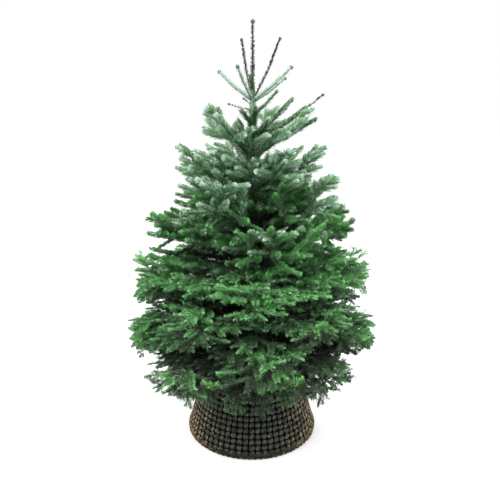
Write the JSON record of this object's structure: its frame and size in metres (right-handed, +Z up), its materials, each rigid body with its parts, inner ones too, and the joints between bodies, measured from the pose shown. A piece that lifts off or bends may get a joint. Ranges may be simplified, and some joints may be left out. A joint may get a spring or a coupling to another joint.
{
  "type": "christmas tree",
  "caption": "Dense young fir with a pointed, nearly bare leader, standing in a round woven basket that widens to its foot.",
  "frame": {"origin": "centre of the basket's flat underside, at floor level", "axes": "+Z up along the trunk, -Y towards the side seen in the picture, +X to the right of that side"},
  "size_m": [1.1149, 1.0912, 1.8],
  "materials": {
    "bark": "grey-brown bark with fine cracks and resin blisters",
    "needles": "glossy dark green needles, brighter at the tips, pale at the top",
    "wicker": "weathered grey-brown willow, woven",
    "soil": "dark crumbly potting mix"
  },
  "bodies": {
    "root": {"basket": "wicker", "bough_2_1": "bark", "bough_2_2": "bark", "bough_2_3": "bark", "bough_2_4": "bark", "bough_2_5": "bark", "bough_3_1": "bark", "bough_3_2": "bark", "bough_3_3": "bark", "bough_3_4": "bark", "bough_3_5": "bark", "bough_4_1": "bark", "bough_4_2": "bark", "bough_4_3": "bark", "bough_4_4": "bark", "bough_4_5": "bark", "foliage_1_1": "needles", "foliage_1_2": "needles", "foliage_1_3": "needles", "foliage_1_4": "needles", "foliage_1_5": "needles", "foliage_2_1": "needles", "foliage_2_2": "needles", "foliage_2_3": "needles", "foliage_2_4": "needles", "foliage_2_5": "needles", "foliage_3_1": "needles", "foliage_3_2": "needles", "foliage_3_3": "needles", "foliage_3_4": "needles", "foliage_3_5": "needles", "foliage_4_1": "needles", "foliage_4_2": "needles", "foliage_4_3": "needles", "foliage_4_4": "needles", "foliage_4_5": "needles", "foliage_5_1": "needles", "foliage_5_2": "needles", "foliage_5_3": "needles", "foliage_5_4": "needles", "foliage_5_5": "needles", "foliage_6_1": "needles", "foliage_6_2": "needles", "foliage_6_3": "needles", "foliage_6_4": "needles", "foliage_7_1": "needles", "foliage_7_2": "needles", "foliage_7_3": "needles", "foliage_7_4": "needles", "foliage_8_1": "needles", "foliage_8_2": "needles", "foliage_8_3": "needles", "foliage_8_4": "needles", "foliage_9_1": "needles", "foliage_9_2": "needles", "foliage_9_3": "needles", "foliage_9_4": "needles", "potting_fill": "soil", "top_whorl": "needles", "trunk": "bark"}
  },
  "joints": []
}
